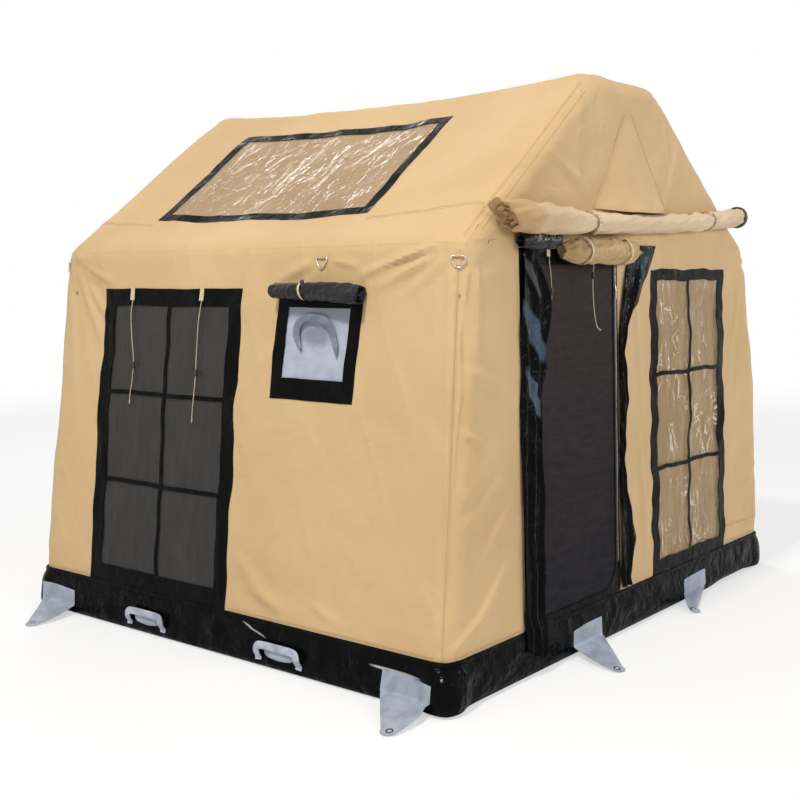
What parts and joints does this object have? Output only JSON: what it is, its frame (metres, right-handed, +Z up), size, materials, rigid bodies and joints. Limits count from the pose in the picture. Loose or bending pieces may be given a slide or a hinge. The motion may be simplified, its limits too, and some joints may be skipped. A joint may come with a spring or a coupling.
{
  "type": "inflatable tent",
  "caption": "House-shaped inflatable cabin tent with a tan cover over air beams, black-framed windows, a mesh door, a skylight and a stove port.",
  "frame": {"origin": "on the ground at the middle of the groundsheet's underside", "axes": "+Z up; the end with the door faces -Y; the side with the large window and the stove port faces -X"},
  "size_m": [3.5648, 3.1526, 2.545],
  "materials": {
    "beam": "satin black coated fabric tube",
    "clear": "clear flexible film over tan cloth",
    "cover": "matt tan canvas",
    "curtain": "matt tan cloth",
    "floor": "dark coated groundsheet fabric",
    "handle": "grey moulded plastic",
    "heatproof": "pale grey coated heatproof cloth",
    "lock": "black plastic",
    "mesh": "dark fine insect net",
    "metal": "bright metal",
    "skirt": "glossy black coated fabric",
    "sleeve": "dark grey-blue coated cloth",
    "tab": "grey coated fabric",
    "trim": "glossy black coated fabric",
    "valve": "dark grey plastic",
    "webbing": "cream webbing and cord"
  },
  "bodies": {
    "tent": {"base_beam": "beam", "door_curtain_roll": "curtain", "door_flap_left": "trim", "door_flap_right": "trim", "door_left_cord": "webbing", "door_left_cord_lock": "lock", "door_right_cord": "webbing", "door_right_cord_lock": "lock", "door_surround": "trim", "eave_beam_left": "beam", "eave_beam_right": "beam", "front_arch_beam": "beam", "front_wall": "cover", "front_window_curtain": "curtain", "front_window_frame": "trim", "front_window_pane": "clear", "grab_handle_left_front": "handle", "grab_handle_left_rear": "handle", "grab_handle_right_front": "handle", "grab_handle_right_rear": "handle", "ground_skirt": "skirt", "groundsheet": "floor", "rear_arch_beam": "beam", "rear_wall": "cover", "ridge_beam": "beam", "roof": "cover", "side_wall_left": "cover", "side_wall_right": "cover", "side_window_frame": "trim", "side_window_mesh": "mesh", "skylight_curtain": "curtain", "skylight_frame": "trim", "skylight_pane": "clear", "storm_door_roll": "cover", "storm_door_tie_left": "webbing", "storm_door_tie_right": "webbing", "stove_port_cover": "trim", "stove_port_frame": "trim", "stove_port_panel": "heatproof", "stove_port_sleeve": "sleeve", "vent_mesh": "mesh", "window_front_cord": "webbing", "window_front_cord_lock": "lock", "window_rear_cord": "webbing", "window_rear_cord_lock": "lock"},
    "mesh_door": {"mesh_door": "mesh"},
    "zip_slider": {"zip_slider": "metal"},
    "vent_hood": {"vent_hood": "cover"},
    "tab_front_left": {"tab_front_left": "tab"},
    "tab_front_right": {"tab_front_right": "tab"},
    "tab_rear_right": {"tab_rear_right": "tab"},
    "tab_rear_left": {"tab_rear_left": "tab"},
    "tab_left_front": {"tab_left_front": "tab"},
    "tab_left_rear": {"tab_left_rear": "tab"},
    "tab_right_front": {"tab_right_front": "tab"},
    "tab_right_rear": {"tab_right_rear": "tab"},
    "tie_ring_front": {"tie_ring_front": "metal"},
    "tie_ring_middle": {"tie_ring_middle": "metal"},
    "tie_ring_rear": {"tie_ring_rear": "metal"},
    "valve_cap": {"valve_cap": "valve"}
  },
  "joints": [
    {"name": "mesh_door_hinge", "type": "hinge", "parent": "tent", "child": "mesh_door", "pos_m": [-0.812, -1.29414, 0.228], "axis": [0, 0.0257, 0.9997], "range_deg": [0, 90]},
    {"name": "zip_slide", "type": "slide", "parent": "tent", "child": "zip_slider", "axis": [0, -0.0257, -0.9997], "range_m": [0, 1.24]},
    {"name": "vent_hood_hinge", "type": "hinge", "parent": "tent", "child": "vent_hood", "pos_m": [0, -1.22409, 2.39024], "axis": [-1, 0, 0], "range_deg": [0, 45]},
    {"name": "tab_front_left_hinge", "type": "hinge", "parent": "tent", "child": "tab_front_left", "pos_m": [-0.47, -1.31111, 0.04632], "axis": [-1, 0, 0], "range_deg": [0, 75]},
    {"name": "tab_front_right_hinge", "type": "hinge", "parent": "tent", "child": "tab_front_right", "pos_m": [0.62, -1.31111, 0.04632], "axis": [-1, 0, 0], "range_deg": [0, 75]},
    {"name": "tab_rear_right_hinge", "type": "hinge", "parent": "tent", "child": "tab_rear_right", "pos_m": [0.47, 1.31111, 0.04632], "axis": [1, 0, 0], "range_deg": [0, 75]},
    {"name": "tab_rear_left_hinge", "type": "hinge", "parent": "tent", "child": "tab_rear_left", "pos_m": [-0.62, 1.31111, 0.04632], "axis": [1, 0, 0], "range_deg": [0, 75]},
    {"name": "tab_left_front_hinge", "type": "hinge", "parent": "tent", "child": "tab_left_front", "pos_m": [-1.51708, -1.11, 0.04737], "axis": [0, 1, 0], "range_deg": [0, 75]},
    {"name": "tab_left_rear_hinge", "type": "hinge", "parent": "tent", "child": "tab_left_rear", "pos_m": [-1.51708, 1.11, 0.04737], "axis": [0, 1, 0], "range_deg": [0, 75]},
    {"name": "tab_right_front_hinge", "type": "hinge", "parent": "tent", "child": "tab_right_front", "pos_m": [1.51708, -1.11, 0.04737], "axis": [0, -1, 0], "range_deg": [0, 75]},
    {"name": "tab_right_rear_hinge", "type": "hinge", "parent": "tent", "child": "tab_right_rear", "pos_m": [1.51708, 1.11, 0.04737], "axis": [0, -1, 0], "range_deg": [0, 75]},
    {"name": "tie_ring_front_hinge", "type": "hinge", "parent": "tent", "child": "tie_ring_front", "pos_m": [-1.30858, -1.21522, 1.73201], "axis": [-0.5229, 0.8524, 0], "range_deg": [0, 120]},
    {"name": "tie_ring_middle_hinge", "type": "hinge", "parent": "tent", "child": "tie_ring_middle", "pos_m": [-1.32273, -0.53, 1.73371], "axis": [0, 1, 0], "range_deg": [0, 120]},
    {"name": "tie_ring_rear_hinge", "type": "hinge", "parent": "tent", "child": "tie_ring_rear", "pos_m": [-1.30858, 1.21522, 1.73201], "axis": [0.5229, 0.8524, 0], "range_deg": [0, 120]},
    {"name": "valve_cap_twist", "type": "hinge", "parent": "tent", "child": "valve_cap", "pos_m": [-1.35668, -1.09124, 0.55], "axis": [0, 1, 0], "range_deg": [0, 90]}
  ]
}
